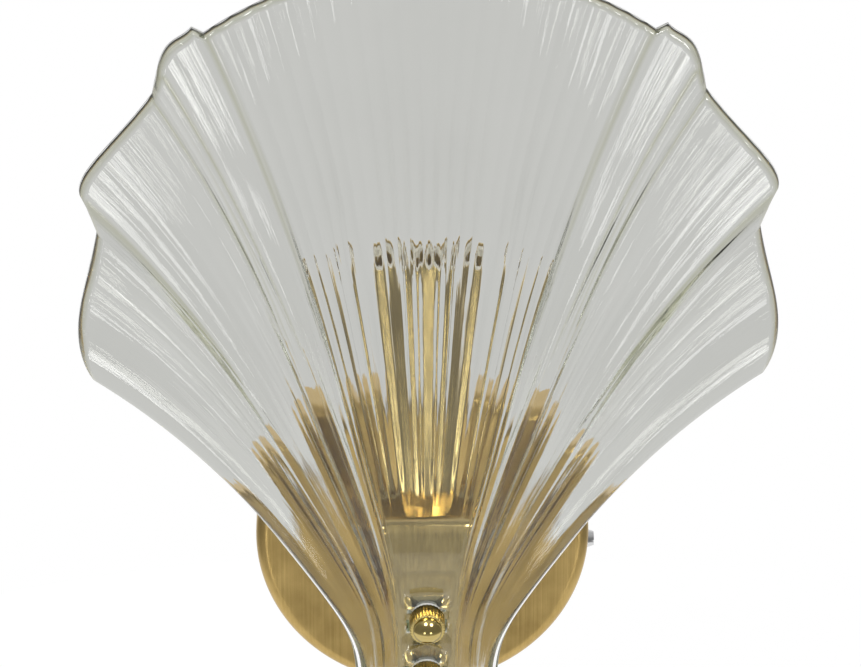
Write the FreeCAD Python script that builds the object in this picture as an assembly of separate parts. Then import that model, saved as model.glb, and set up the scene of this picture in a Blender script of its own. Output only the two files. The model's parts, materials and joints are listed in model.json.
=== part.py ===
"""Wall sconce with a pressed glass scallop shell, held by two knurled knobs on a bent brass strip.

Frame: the origin is the centre of the canopy on the wall plane, +Z is up and the wall is the plane Y = 0.
The light stands out from the wall towards -Y. All sizes are in millimetres, and angles are in degrees.
"""
import FreeCAD, Part
import math
import os

from FreeCAD import Vector

# ---- sizes that set the light as a whole -------------------------------------------------------
CLEARANCE = 0.05                # radial running clearance of every screw and stud in its thread
BODY_GAP = 0.1                  # air under a turning head, so that it turns freely

# canopy, a pan spun from brass sheet
CANOPY_R = 55.0
CANOPY_DEPTH = 18.0
CANOPY_WALL = 0.9
CANOPY_EDGE_R = 4.0
CANOPY_EDGE_STEPS = 4           # short cones that round the edge

# bracket on the wall, inside the canopy
BRACKET_THICK = 1.5
BRACKET_WIDTH = 22.0
BRACKET_BEND_R = 1.0
LUG_WIDTH = 12.0
LUG_LENGTH = 13.0
LUG_GAP = 1.4                   # from the outer face of a lug to the wall of the canopy
SLOT_SPACING = 60.0
SLOT_WIDTH = 4.5
SLOT_LENGTH = 10.0
CABLE_HOLE_R = 6.0
TAB_WIDTH = 16.0
TAB_END_Z = -37.0

# screw in the side of the canopy
SIDE_SCREW_R = 1.5
SIDE_SCREW_LENGTH = 8.0
SIDE_HEAD_R = 3.0
SIDE_HEAD_HEIGHT = 2.0
SIDE_NUT_AF = 5.5
SIDE_NUT_HEIGHT = 2.4
SIDE_SCREW_DEPTH = 9.0          # its distance from the wall plane
SIDE_SCREW_Z = -5.0             # it sits a little below the middle

# brass strip: back leg on the canopy, shelf under the lampholder, leaning front leg behind the glass
STRIP_THICK = 2.0
STRIP_HALF_WIDTH = 13.0
STRIP_TOE_HALF_WIDTH = 9.0
STRIP_BEND_R = 2.0
STRIP_CORNER_R = 5.0
SHELF_Z = 27.5                  # top face of the shelf
BACK_LEG_END_Z = -21.0
FRONT_LEG_END_W = -1.0          # lower end of the front leg, along the leaning plane
STRIP_SCREW_R = 2.0
STRIP_SCREW_Z = 14.0
STRIP_HEAD_R = 3.8
STRIP_HEAD_HEIGHT = 2.4

# leaning plane of the glass: its origin is the point that the ribs fan out from
FAN_OUT = 54.4                  # distance of that point from the wall
FAN_Z = -41.4
LEAN = 9.0

# glass shell, made of rib lines that fan out from the stem; rib places are numbered from the axis outwards
GLASS_THICK = 6.0               # at the clamped pad
GLASS_RIM_THICK = 5.0
RIM_ANGLE = 37.6                # of the rim's lower corners, seen from the fan point
SIDE_ANGLE = 33.5               # of the side edges, near the stem
STEM_HALF_WIDTH = 21.25
STEM_BOTTOM = -7.0              # lower end of the stem, along the leaning plane
STEM_ROUNDING = 6.0             # how far the stem's corners are drawn up
RIB_COUNT = 55                  # ridges from one side edge to the other
RIB_DEPTH = 1.1
RIB_FULL_UP = 150.0             # the ribs deepen up to this height
RIB_RIM_SHARE = 0.5             # share of their depth that is left at the rim
RIB_START_LENGTH = 8.0          # over which the ribs reach their depth at the stem
FLUTE_PITCH = 8.0               # in rib lines: the ribs come in flutes, with flat glass between the flutes
FLUTE_FIRST = 5.5               # the middle flute reaches this rib line at full depth, on both sides
FLUTE_SWELL = 0.5               # how far a flute stands out
# thick and thin places across the shell, which make its broad bands: rib line and added thickness
FOLD_BANDS = [(0, 0.0), (22, 0.0), (26, 5.2), (35, 0.2), (43, 4.6), (48, 0.4), (53, 3.2), (55, 1.6)]
FOLD_START_UP = 46.0            # the bands start at this height, above the knobs,
FOLD_FULL_UP = 84.0             # reach their full depth here,
FOLD_FADE_UP = 110.0            # keep it up to here
FOLD_GONE_UP = 200.0            # and have faded to a share of it here
FOLD_RIM_SHARE = 0.12
RIB_DRAW_IN = 0.10              # how far the outer ribs draw in towards the stem
DRAW_IN_SCALE = 12.2            # makes the greatest value of u^4 (1 - u) one
SPREAD_START = 0.54             # share of the height at which the sides start to spread
SPREAD_POWER = 1.8
STEM_BLEND = 5                  # power of the blend from the stem's sides to the fan
CREST_R = 119.0                 # the middle lobe's rim is round, with this radius
CREST_UP = 144.6                # and its centre this far up
# other lobes, each between two folds: its first and last rib line, the rim's distance from the fan point
# at both, how far the rim swells past a straight run, and where along the lobe it swells most
LOBES = [(0, 22, 0, 0, 0, 0.5), (23, 28, 255.0, 243.5, 3.3, 0.6),
         (29, 41, 238.9, 215.8, 5.8, 0.88), (42, 55, 205.7, 167.0, 5.6, 0.78)]
PETAL_RISE = [1.0, 2.0, 2.6, 3.0]         # forward rise of each lobe at its lower end
CUP_CURVE = 0.0007              # forward rise of the sides, per square millimetre from the axis
WALL_RISE_STEM = 7.0            # forward rise of the side walls beside the pad
WALL_RISE_RIM = 1.5
WALL_FADE_UP = 20.0             # the side walls keep their height up to here
PAD_TOP = 72.8                  # the flat pad ends here and the ribs start
PAD_LOW_COUNT = 25              # rib lines across half of the flat pad, at its foot
PAD_TOP_COUNT = 15              # and at its top
FADE_LENGTH = 50.0              # the cup and the lobes grow to their full depth over this length

# clamp: studs, washers and knobs along the normal of the leaning plane
STUD_R = 2.0
STUD_UP = 36.0                  # place of the upper stud along the leaning plane
STUD_SPACING = 22.0
STUD_FLANGE_R = 3.6
STUD_FLANGE_HEIGHT = 1.4
STUD_ENGAGED = 4.6
REAR_WASHER_R = 5.0
REAR_WASHER_THICK = 1.0
FRONT_WASHER_R = 5.1
FRONT_WASHER_THICK = 1.2
BUSH_R = 2.7
BUSH_LENGTH = 3.5
GLASS_HOLE_R = 2.8
KNOB_R = 5.7
KNOB_RING_HEIGHT = 6.5
KNOB_TOOTH_COUNT = 30
KNOB_TOOTH = 0.3
DOME_R = 4.6
DOME_NECK = 0.9
DOME_HEIGHT = 3.3
KNOB_BORE_DEPTH = 5.0

# lampholder and its brass sleeve, standing on the shelf
HOLDER_OUT = 36.0               # distance of its axis from the wall
SLEEVE_R = 13.5
SLEEVE_WALL = 0.8
SLEEVE_TOP_Z = 107.6
CUP_R = 14.6
CUP_FLOOR = 1.2
CUP_LIP = 2.6
NIPPLE_R = 5.0
NIPPLE_BORE_R = 3.5
NIPPLE_BELOW = 8.0
NIPPLE_ABOVE = 9.0
NUT_AF = 14.0
NUT_HEIGHT = 3.0
STAR_R = 8.0
STAR_THICK = 0.6
HOLDER_GAP = 0.5                # between lampholder and sleeve
HOLDER_BASE_HEIGHT = 12.0
HOLDER_TOP_DROP = 0.4           # top of the lampholder below the top of the sleeve
SOCKET_R = 7.0                  # inside the thread shell
SOCKET_WALL = 0.4
SOCKET_LENGTH = 18.0
SOCKET_DROP = 2.0               # top of the thread shell below the top of the lampholder
FLOOR_THICK = 3.0
FLOOR_DROP = 4.0                # socket floor below the thread shell
WIRE_ROOM_R = 9.4
CONTACT_WIDTH = 4.0
CONTACT_THICK = 0.5

# two leads from the lampholder through the nipple and the grommet to the terminal block
LEAD_R = 1.05
LEAD_SPACING = 2.8              # between the leads' axes, in the nipple and the grommet
LEAD_TERMINAL_SPACING = 11.0    # under the socket floor
LEAD_GATHER = 6.0               # the leads come together this far above the nipple
LEAD_INTO_BLOCK = 2.5
ARC_SHARE = 0.45                # an arc takes this share of the shorter run beside it

# cable entry and terminals in the canopy
GROMMET_HOLE_R = 4.6
GROMMET_BORE_R = 3.0
GROMMET_FLANGE_R = 6.2
GROMMET_FLANGE = 1.2
BLOCK_SIZE = (18.0, 9.0, 11.0)  # across, out from the tab, up
BLOCK_Z = -27.0
BLOCK_BORE_R = 1.6
BLOCK_PITCH = 9.0
BLOCK_SCREW_R = 1.4
BLOCK_SCREW_HEAD_R = 1.7
EARTH_X = 17.0
EARTH_SCREW_R = 2.0
EARTH_HEAD_R = 3.6
EARTH_HEAD_HEIGHT = 2.4
EARTH_WASHER_R = 4.6
EARTH_WASHER_THICK = 0.8

# ---- directions and places worked out from the sizes --------------------------------------------
X_AXIS, OUT, UP = Vector(1, 0, 0), Vector(0, -1, 0), Vector(0, 0, 1)
SIN_LEAN, COS_LEAN = math.sin(math.radians(LEAN)), math.cos(math.radians(LEAN))
FAN_POINT = Vector(0, -FAN_OUT, FAN_Z)
PLANE_UP = Vector(0, -SIN_LEAN, COS_LEAN)
PLANE_OUT = Vector(0, -COS_LEAN, -SIN_LEAN)
STRIP_FRONT_N = -GLASS_THICK / 2 - REAR_WASHER_THICK     # front face of the strip, out from the plane
STUD_PLACES = [STUD_UP, STUD_UP - STUD_SPACING]
CANOPY_FACE = CANOPY_DEPTH                                # distance of the canopy's face from the wall
LUG_X = CANOPY_R - CANOPY_WALL - LUG_GAP


def on_plane(x, up, out):
    """Point given by its place across, up and out from the leaning plane of the glass."""
    return FAN_POINT + X_AXIS * x + PLANE_UP * up + PLANE_OUT * out


def placed(shape, base, axis):
    """Shape made along its own Z axis, moved to base with that axis along the given one."""
    shape.Placement = FreeCAD.Placement(base, FreeCAD.Rotation(UP, axis))
    return shape


def cylinder(radius, length, base, axis):
    return Part.makeCylinder(radius, length, base, axis)


def tube(outer, inner, length, base, axis):
    over = 1.0
    bore = Part.makeCylinder(inner, length + 2 * over, base - axis * over, axis)
    return Part.makeCylinder(outer, length, base, axis).cut(bore)


def block(x, out, z):
    """Box between two values across, out from the wall and up."""
    size = (x[1] - x[0], out[1] - out[0], z[1] - z[0])
    return Part.makeBox(*size, Vector(x[0], -out[1], z[0]))


def turned(profile):
    """Solid of revolution about Z, from a list of (radius, height) points."""
    points = [Vector(r, 0, h) for r, h in profile]
    wire = Part.makePolygon(points + [points[0]])
    return Part.Face(wire).revolve(Vector(0, 0, 0), UP, 360)


def hexagon(across_flats, height, bore, base, axis):
    radius = across_flats / math.sqrt(3)
    corners = [Vector(radius * math.cos(math.radians(60 * i)), radius * math.sin(math.radians(60 * i)), 0)
               for i in range(6)]
    prism = Part.Face(Part.makePolygon(corners + [corners[0]])).extrude(UP * height)
    prism = prism.cut(Part.makeCylinder(bore, height + 2, Vector(0, 0, -1)))
    return placed(prism, base, axis)


def edges_along_x(shape, places, tolerance=0.01):
    """Edges parallel to X that pass through one of the given (y, z) places."""
    found = []
    for edge in shape.Edges:
        a, b = edge.Vertexes[0].Point, edge.Vertexes[-1].Point
        if abs(a.y - b.y) > tolerance or abs(a.z - b.z) > tolerance:
            continue
        if any(math.hypot(a.y - y, a.z - z) < tolerance for y, z in places):
            found.append(edge)
    return found


def pan_head(head_r, head_height):
    """Pan head standing on Z = 0, narrowing a little towards its top."""
    return Part.makeCone(head_r, 0.8 * head_r, head_height)


# ---- canopy and what is on the wall -------------------------------------------------------------
def canopy_pan():
    """Round pan, open towards the wall, its edge rounded in a few short cones."""
    centre_r, centre_h = CANOPY_R - CANOPY_EDGE_R, CANOPY_DEPTH - CANOPY_EDGE_R

    def rounding(radius):
        angles = [math.pi / 2 * i / CANOPY_EDGE_STEPS for i in range(CANOPY_EDGE_STEPS + 1)]
        return [(centre_r + radius * math.cos(a), centre_h + radius * math.sin(a)) for a in angles]

    inner_edge = rounding(CANOPY_EDGE_R - CANOPY_WALL)
    profile = [(CANOPY_R, 0)] + rounding(CANOPY_EDGE_R) + [(0, CANOPY_DEPTH), (0, CANOPY_DEPTH - CANOPY_WALL)]
    profile += inner_edge[::-1] + [(CANOPY_R - CANOPY_WALL, 0)]
    return placed(turned(profile), Vector(0, 0, 0), OUT)


def side_hole():
    """Cutter for the side screw's way through canopy and lug, on the right."""
    base = Vector(0, -SIDE_SCREW_DEPTH, SIDE_SCREW_Z)
    return cylinder(SIDE_SCREW_R + 4 * CLEARANCE, CANOPY_R, base, X_AXIS)


def canopy():
    pan = canopy_pan()
    through = CANOPY_FACE + 2
    for z in (STRIP_SCREW_Z, -STRIP_SCREW_Z):
        pan = pan.cut(cylinder(STRIP_SCREW_R + CLEARANCE, through, Vector(0, 0, z), OUT))
    pan = pan.cut(cylinder(GROMMET_HOLE_R, through, Vector(0, 0, 0), OUT))
    return pan.cut(side_hole())


def slot_cutter(x, width, length):
    """Cutter for a slot along X, through the bracket."""
    radius, run = width / 2, (length - width) / 2
    body = block((x - run, x + run), (-1, BRACKET_THICK + 1), (-radius, radius))
    for centre in (x - run, x + run):
        body = body.fuse(cylinder(radius, BRACKET_THICK + 2, Vector(centre, 1, 0), OUT))
    return body


def wall_bracket():
    """Steel bar on the wall, with a lug bent out at each end and a tab for the terminal block."""
    half, thick = BRACKET_WIDTH / 2, BRACKET_THICK
    bar = block((-LUG_X, LUG_X), (0, thick), (-half, half))
    for x in (-LUG_X, LUG_X - thick):
        lug_z = (SIDE_SCREW_Z - LUG_WIDTH / 2, SIDE_SCREW_Z + LUG_WIDTH / 2)
        bar = bar.fuse(block((x, x + thick), (0, LUG_LENGTH), lug_z))
    bar = bar.removeSplitter()
    outer = [e for e in bar.Edges if abs(abs(e.BoundBox.XMin) - LUG_X) < 1e-6 and e.BoundBox.XLength < 1e-6
             and abs(e.BoundBox.YMin) < 1e-6 and abs(e.BoundBox.YMax) < 1e-6]
    bar = bar.makeFillet(BRACKET_BEND_R, outer)
    tab = block((-TAB_WIDTH / 2, TAB_WIDTH / 2), (0, thick), (TAB_END_Z, -half + 0.001))
    bar = bar.fuse(tab)
    for x in (-SLOT_SPACING / 2, SLOT_SPACING / 2):
        bar = bar.cut(slot_cutter(x, SLOT_WIDTH, SLOT_LENGTH))
    bar = bar.cut(cylinder(CABLE_HOLE_R, thick + 2, Vector(0, 1, 0), OUT))
    bar = bar.cut(cylinder(EARTH_SCREW_R + CLEARANCE, thick + 2, Vector(EARTH_X, 1, 0), OUT))
    return bar.cut(side_hole()).removeSplitter()


def side_nut():
    """Hexagon nut on the inner face of the right lug."""
    base = Vector(LUG_X - BRACKET_THICK, -SIDE_SCREW_DEPTH, SIDE_SCREW_Z)
    return hexagon(SIDE_NUT_AF, SIDE_NUT_HEIGHT, SIDE_SCREW_R + CLEARANCE, base, X_AXIS * -1)


def side_screw():
    """Pan head screw that holds the canopy on the bracket."""
    under_head = Vector(CANOPY_R + BODY_GAP, -SIDE_SCREW_DEPTH, SIDE_SCREW_Z)
    head = placed(pan_head(SIDE_HEAD_R, SIDE_HEAD_HEIGHT), under_head, X_AXIS)
    shank = cylinder(SIDE_SCREW_R, SIDE_SCREW_LENGTH + 0.5, under_head + X_AXIS * 0.5, X_AXIS * -1)
    slot = Part.makeBox(0.8, 2 * SIDE_HEAD_R, 0.8,
                        under_head + Vector(SIDE_HEAD_HEIGHT - 0.8 + 0.001, -SIDE_HEAD_R, -0.4))
    return head.fuse(shank).cut(slot).removeSplitter()


def grommet():
    """Rubber bush through the canopy and the back leg of the strip."""
    inside, outside = CANOPY_FACE - CANOPY_WALL, CANOPY_FACE + STRIP_THICK
    neck, flange = GROMMET_HOLE_R, GROMMET_FLANGE_R
    low, high = inside - GROMMET_FLANGE, outside + GROMMET_FLANGE
    profile = [(GROMMET_BORE_R, low), (flange, low), (flange, inside), (neck, inside),
               (neck, outside), (flange, outside), (flange, high), (GROMMET_BORE_R, high)]
    return placed(turned(profile), Vector(0, 0, 0), OUT)


def terminal_block():
    """Two-way block on the bracket's tab, bored upright for the leads and from the front for the screws."""
    across, depth, height = BLOCK_SIZE
    low = BRACKET_THICK
    body = block((-across / 2, across / 2), (low, low + depth), (BLOCK_Z - height / 2, BLOCK_Z + height / 2))
    for x in (-BLOCK_PITCH / 2, BLOCK_PITCH / 2):
        body = body.cut(cylinder(BLOCK_BORE_R, height + 2,
                                 Vector(x, -low - depth / 2, BLOCK_Z - height / 2 - 1), UP))
        body = body.cut(cylinder(BLOCK_SCREW_HEAD_R + 0.2, depth / 2 + 1,
                                 Vector(x, -low - depth / 2, BLOCK_Z), OUT))
    return body


def terminal_screws():
    """Clamping screws in the front of the terminal block."""
    low, depth = BRACKET_THICK, BLOCK_SIZE[1]
    screws = []
    for x in (-BLOCK_PITCH / 2, BLOCK_PITCH / 2):
        base = Vector(x, -low - depth / 2 - BLOCK_BORE_R, BLOCK_Z)
        screws.append(cylinder(BLOCK_SCREW_HEAD_R, depth / 2 - BLOCK_BORE_R - 0.6, base, OUT))
    return Part.makeCompound(screws)


def earth_screw():
    """Earth screw of the bracket, with its washer."""
    face = Vector(EARTH_X, -BRACKET_THICK, 0)
    washer = cylinder(EARTH_WASHER_R, EARTH_WASHER_THICK, face, OUT)
    head = placed(pan_head(EARTH_HEAD_R, EARTH_HEAD_HEIGHT), face + OUT * EARTH_WASHER_THICK, OUT)
    shank = cylinder(EARTH_SCREW_R, BRACKET_THICK + 0.5, face + OUT * 0.5, OUT * -1)
    return washer.fuse(head).fuse(shank).removeSplitter()


# ---- brass strip ---------------------------------------------------------------------------------
def leg_out(z, out):
    """Distance from the wall of a plane parallel to the glass plane, at a height z."""
    up = (z - FAN_Z + SIN_LEAN * out) / COS_LEAN
    return FAN_OUT + SIN_LEAN * up + COS_LEAN * out


def strip_bend():
    """Back leg, shelf and front leg as one bent piece of constant width."""
    front, back = STRIP_FRONT_N, STRIP_FRONT_N - STRIP_THICK
    toe = on_plane(0, FRONT_LEG_END_W, front)
    heel = on_plane(0, FRONT_LEG_END_W, back)
    shelf_under = SHELF_Z - STRIP_THICK
    outline = [(CANOPY_FACE, BACK_LEG_END_Z), (CANOPY_FACE, SHELF_Z), (leg_out(SHELF_Z, front), SHELF_Z),
               (-toe.y, toe.z), (-heel.y, heel.z), (leg_out(shelf_under, back), shelf_under),
               (CANOPY_FACE + STRIP_THICK, shelf_under), (CANOPY_FACE + STRIP_THICK, BACK_LEG_END_Z)]
    points = [Vector(-STRIP_HALF_WIDTH, -out, z) for out, z in outline]
    strip = Part.Face(Part.makePolygon(points + [points[0]])).extrude(X_AXIS * 2 * STRIP_HALF_WIDTH)
    outer = [(-outline[i][0], outline[i][1]) for i in (1, 2)]
    inner = [(-outline[i][0], outline[i][1]) for i in (5, 6)]
    strip = strip.makeFillet(STRIP_BEND_R + STRIP_THICK, edges_along_x(strip, outer))
    return strip.makeFillet(STRIP_BEND_R, edges_along_x(strip, inner))


def toe_trimmer(side):
    """Wedge that tapers the front leg towards its toe, on one side."""
    top = (SHELF_Z - FAN_Z) / COS_LEAN - STRIP_BEND_R - STRIP_THICK
    edge_in, edge_out = STRIP_TOE_HALF_WIDTH, STRIP_HALF_WIDTH
    low = FRONT_LEG_END_W - 1
    slope = (edge_out - edge_in) / (top - FRONT_LEG_END_W)
    front, back = STRIP_FRONT_N + 2, STRIP_FRONT_N - STRIP_THICK - 2
    corners = [(edge_in - slope, low), (edge_out, top), (edge_out + 5, top), (edge_out + 5, low)]
    points = [on_plane(side * x, up, back) for x, up in corners]
    return Part.Face(Part.makePolygon(points + [points[0]])).extrude(PLANE_OUT * (front - back))


def holder_strip():
    strip = strip_bend()
    for side in (1, -1):
        strip = strip.cut(toe_trimmer(side))
    ends = [e for e in strip.Edges if abs(e.Length - STRIP_THICK) < 0.02
            and (e.BoundBox.ZMax < BACK_LEG_END_Z + 0.01 or e.BoundBox.ZMax < FAN_Z + 2)]
    strip = strip.makeFillet(STRIP_CORNER_R, ends)
    through = 3 * STRIP_THICK
    behind = Vector(0, -CANOPY_FACE + STRIP_THICK, 0)
    strip = strip.cut(cylinder(NIPPLE_R + CLEARANCE, through, holder_axis(SHELF_Z - 2 * STRIP_THICK), UP))
    strip = strip.cut(cylinder(GROMMET_HOLE_R, through, behind, OUT))
    for z in (STRIP_SCREW_Z, -STRIP_SCREW_Z):
        strip = strip.cut(cylinder(STRIP_SCREW_R + CLEARANCE, through, behind + UP * z, OUT))
    for up in STUD_PLACES:
        base = on_plane(0, up, STRIP_FRONT_N - 2 * STRIP_THICK)
        strip = strip.cut(cylinder(STUD_R, through, base, PLANE_OUT))
    return strip


def strip_screws():
    """Two screws from inside the canopy into the back leg."""
    head_face = CANOPY_FACE - CANOPY_WALL
    screws = []
    for z in (STRIP_SCREW_Z, -STRIP_SCREW_Z):
        head = placed(pan_head(STRIP_HEAD_R, STRIP_HEAD_HEIGHT), Vector(0, -head_face, z), OUT * -1)
        shank = cylinder(STRIP_SCREW_R, CANOPY_WALL + STRIP_THICK + 0.8, Vector(0, -head_face + 0.5, z), OUT)
        screws.append(head.fuse(shank).removeSplitter())
    return Part.makeCompound(screws)


# ---- lampholder -----------------------------------------------------------------------------------
def holder_axis(z):
    return Vector(0, -HOLDER_OUT, z)


CUP_TOP_Z = SHELF_Z + CUP_FLOOR
HOLDER_TOP_Z = SLEEVE_TOP_Z - HOLDER_TOP_DROP
HOLDER_R = SLEEVE_R - SLEEVE_WALL - HOLDER_GAP
HOLDER_SPLIT_Z = CUP_TOP_Z + HOLDER_BASE_HEIGHT
SOCKET_TOP_Z = HOLDER_TOP_Z - SOCKET_DROP
SOCKET_BOTTOM_Z = SOCKET_TOP_Z - SOCKET_LENGTH
FLOOR_Z = SOCKET_BOTTOM_Z - FLOOR_DROP


def nipple():
    """Threaded tube that clamps the lampholder to the shelf."""
    low = SHELF_Z - STRIP_THICK - NIPPLE_BELOW
    high = CUP_TOP_Z + NIPPLE_ABOVE
    return tube(NIPPLE_R, NIPPLE_BORE_R, high - low, holder_axis(low), UP)


def star_washer():
    """Toothed washer under the shelf."""
    teeth, inner = 10, NIPPLE_R + CLEARANCE
    points = []
    for i in range(2 * teeth):
        radius = STAR_R if i % 2 == 0 else STAR_R - 1.4
        angle = math.pi * i / teeth
        points.append(Vector(radius * math.cos(angle), radius * math.sin(angle), 0))
    star = Part.Face(Part.makePolygon(points + [points[0]])).extrude(UP * STAR_THICK)
    star = star.cut(Part.makeCylinder(inner, STAR_THICK + 2, Vector(0, 0, -1)))
    return placed(star, holder_axis(SHELF_Z - STRIP_THICK - STAR_THICK), UP)


def nipple_nut():
    base = holder_axis(SHELF_Z - STRIP_THICK - STAR_THICK - NUT_HEIGHT)
    return hexagon(NUT_AF, NUT_HEIGHT, NIPPLE_R + CLEARANCE, base, UP)


def sleeve_cup():
    """Shallow brass cup that centres the sleeve on the shelf."""
    inner = SLEEVE_R + CLEARANCE
    profile = [(NIPPLE_R + CLEARANCE, 0), (CUP_R, 0), (CUP_R, CUP_LIP), (inner, CUP_LIP),
               (inner, CUP_FLOOR), (NIPPLE_R + CLEARANCE, CUP_FLOOR)]
    return placed(turned(profile), holder_axis(SHELF_Z), UP)


def sleeve():
    """Thin brass tube round the lampholder."""
    return tube(SLEEVE_R, SLEEVE_R - SLEEVE_WALL, SLEEVE_TOP_Z - CUP_TOP_Z, holder_axis(CUP_TOP_Z), UP)


def holder_base():
    """Lower half of the lampholder, threaded on the nipple."""
    height = HOLDER_BASE_HEIGHT
    bore = NIPPLE_R + CLEARANCE
    floor = NIPPLE_ABOVE + 0.5
    profile = [(bore, 0), (HOLDER_R, 0), (HOLDER_R, height), (WIRE_ROOM_R, height),
               (WIRE_ROOM_R, floor), (bore, floor)]
    return placed(turned(profile), holder_axis(CUP_TOP_Z), UP)


def holder_body():
    """Upper half of the lampholder: wire room below, floor for the contacts, pocket for the thread shell."""
    height = HOLDER_TOP_Z - HOLDER_SPLIT_Z
    floor_top, floor_low = FLOOR_Z - HOLDER_SPLIT_Z, FLOOR_Z - FLOOR_THICK - HOLDER_SPLIT_Z
    pocket = SOCKET_R + SOCKET_WALL
    lip = SOCKET_TOP_Z - HOLDER_SPLIT_Z
    shell = turned([(WIRE_ROOM_R, 0), (HOLDER_R, 0), (HOLDER_R, height - 0.8), (HOLDER_R - 0.8, height),
                    (SOCKET_R + 1.2, height), (pocket, lip), (pocket, floor_top), (0, floor_top),
                    (0, floor_low), (WIRE_ROOM_R, floor_low)])
    return placed(shell, holder_axis(HOLDER_SPLIT_Z), UP)


def thread_shell():
    """Brass shell that the lamp's cap screws into, with the thread left plain."""
    return tube(SOCKET_R + SOCKET_WALL, SOCKET_R, SOCKET_LENGTH, holder_axis(SOCKET_BOTTOM_Z), UP)


def centre_contact():
    """Sprung leaf on the socket floor, with its tip under the cap."""
    t, reach, rise = CONTACT_THICK, SOCKET_R - 2.0, FLOOR_DROP - 1.0
    side = [(-reach, 0), (reach * 0.2, 0), (reach * 0.5, t), (-reach * 0.1, rise), (-reach * 0.3, rise),
            (reach * 0.1, t), (-reach, t)]
    points = [Vector(x, CONTACT_WIDTH / 2, z) for x, z in side]
    leaf = Part.Face(Part.makePolygon(points + [points[0]])).extrude(Vector(0, -CONTACT_WIDTH, 0))
    rivet = Part.makeCylinder(1.0, 0.6, Vector(-reach + 1.4, 0, t))
    return placed(leaf.fuse(rivet), holder_axis(FLOOR_Z), UP)


def lead(side):
    """Lead of one side, on straights and tangent arcs, from the socket floor to the terminal block."""
    near, block_out = side * LEAD_SPACING / 2, BRACKET_THICK + BLOCK_SIZE[1] / 2
    gather_z = CUP_TOP_Z + NIPPLE_ABOVE + LEAD_GATHER
    block_top = BLOCK_Z + BLOCK_SIZE[2] / 2
    route = [Vector(side * LEAD_TERMINAL_SPACING / 2, -HOLDER_OUT, FLOOR_Z - FLOOR_THICK),
             Vector(near, -HOLDER_OUT, gather_z), Vector(near, -HOLDER_OUT, 0), Vector(near, -block_out, 0),
             Vector(side * BLOCK_PITCH / 2, -block_out, block_top - LEAD_INTO_BLOCK)]
    return round_tube(route, LEAD_R)


def round_tube(route, radius):
    """Tube along a route, its corners rounded by the largest arcs that the runs allow; prints their radii."""
    edges, at, radii = [], route[0], []
    for before, corner, after in zip(route, route[1:], route[2:]):
        back, ahead = (before - corner), (after - corner)
        reach = ARC_SHARE * min(back.Length, ahead.Length)
        half_turn = (math.pi - back.getAngle(ahead)) / 2
        radii.append(reach / math.tan(half_turn))
        back, ahead = back.normalize(), ahead.normalize()
        first, last = corner + back * reach, corner + ahead * reach
        inward = (back + ahead).normalize()
        crown = corner + inward * (radii[-1] / math.cos(half_turn) - radii[-1])
        edges.append(Part.LineSegment(at, first).toShape())
        edges.append(Part.Arc(first, crown, last).toShape())
        at = last
    edges.append(Part.LineSegment(at, route[-1]).toShape())
    path = Part.Wire(edges)
    ring = Part.Wire(Part.makeCircle(radius, route[0], route[1] - route[0]))
    tube_shape = path.makePipeShell([ring], True, False)
    print("lead: arc radii", [round(r, 1) for r in radii], "length", round(path.Length, 1),
          "volume share", round(tube_shape.Volume / (math.pi * radius ** 2 * path.Length), 4))
    return tube_shape


# ---- clamp of the glass ---------------------------------------------------------------------------
GLASS_BACK_N, GLASS_FRONT_N = -GLASS_THICK / 2, GLASS_THICK / 2
WASHER_FACE_N = GLASS_FRONT_N + FRONT_WASHER_THICK
KNOB_N = WASHER_FACE_N + BODY_GAP


def clamp_studs():
    """Two threaded studs riveted in the front leg."""
    studs = []
    back = STRIP_FRONT_N - STRIP_THICK
    for up in STUD_PLACES:
        flange = cylinder(STUD_FLANGE_R, STUD_FLANGE_HEIGHT, on_plane(0, up, back), PLANE_OUT * -1)
        length = KNOB_N + STUD_ENGAGED - back
        studs.append(flange.fuse(cylinder(STUD_R, length, on_plane(0, up, back), PLANE_OUT)))
    return Part.makeCompound(studs)


def rear_washers():
    washers = [tube(REAR_WASHER_R, STUD_R + CLEARANCE, REAR_WASHER_THICK, on_plane(0, up, STRIP_FRONT_N),
                    PLANE_OUT) for up in STUD_PLACES]
    return Part.makeCompound(washers)


def front_washers():
    """White washers, each with a collar that lines the hole in the glass."""
    washers = []
    for up in STUD_PLACES:
        profile = [(STUD_R + CLEARANCE, -BUSH_LENGTH), (BUSH_R, -BUSH_LENGTH), (BUSH_R, 0),
                   (FRONT_WASHER_R, 0),
                   (FRONT_WASHER_R, FRONT_WASHER_THICK), (STUD_R + CLEARANCE, FRONT_WASHER_THICK)]
        washers.append(placed(turned(profile), on_plane(0, up, GLASS_FRONT_N), PLANE_OUT))
    return Part.makeCompound(washers)


def knurled_ring():
    """Toothed grip of a knob."""
    points = []
    for i in range(2 * KNOB_TOOTH_COUNT):
        radius = KNOB_R if i % 2 == 0 else KNOB_R - KNOB_TOOTH
        angle = math.pi * i / KNOB_TOOTH_COUNT
        points.append(Vector(radius * math.cos(angle), radius * math.sin(angle), 0))
    return Part.Face(Part.makePolygon(points + [points[0]])).extrude(UP * KNOB_RING_HEIGHT)


def knob(up):
    """Knurled nut with a polished dome, bored blind for its stud."""
    ring = KNOB_RING_HEIGHT
    cap_height = DOME_HEIGHT - DOME_NECK
    cap_r = (DOME_R ** 2 + cap_height ** 2) / (2 * cap_height)
    cap = Part.makeSphere(cap_r, Vector(0, 0, ring + DOME_HEIGHT - cap_r))
    dome = Part.makeCylinder(DOME_R, DOME_HEIGHT + 1, Vector(0, 0, ring - 1)).common(cap)
    body = knurled_ring().fuse(dome).removeSplitter()
    body = body.cut(Part.makeCylinder(STUD_R + CLEARANCE, KNOB_BORE_DEPTH + 1, Vector(0, 0, -1)))
    return placed(body, on_plane(0, up, KNOB_N), PLANE_OUT)


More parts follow.
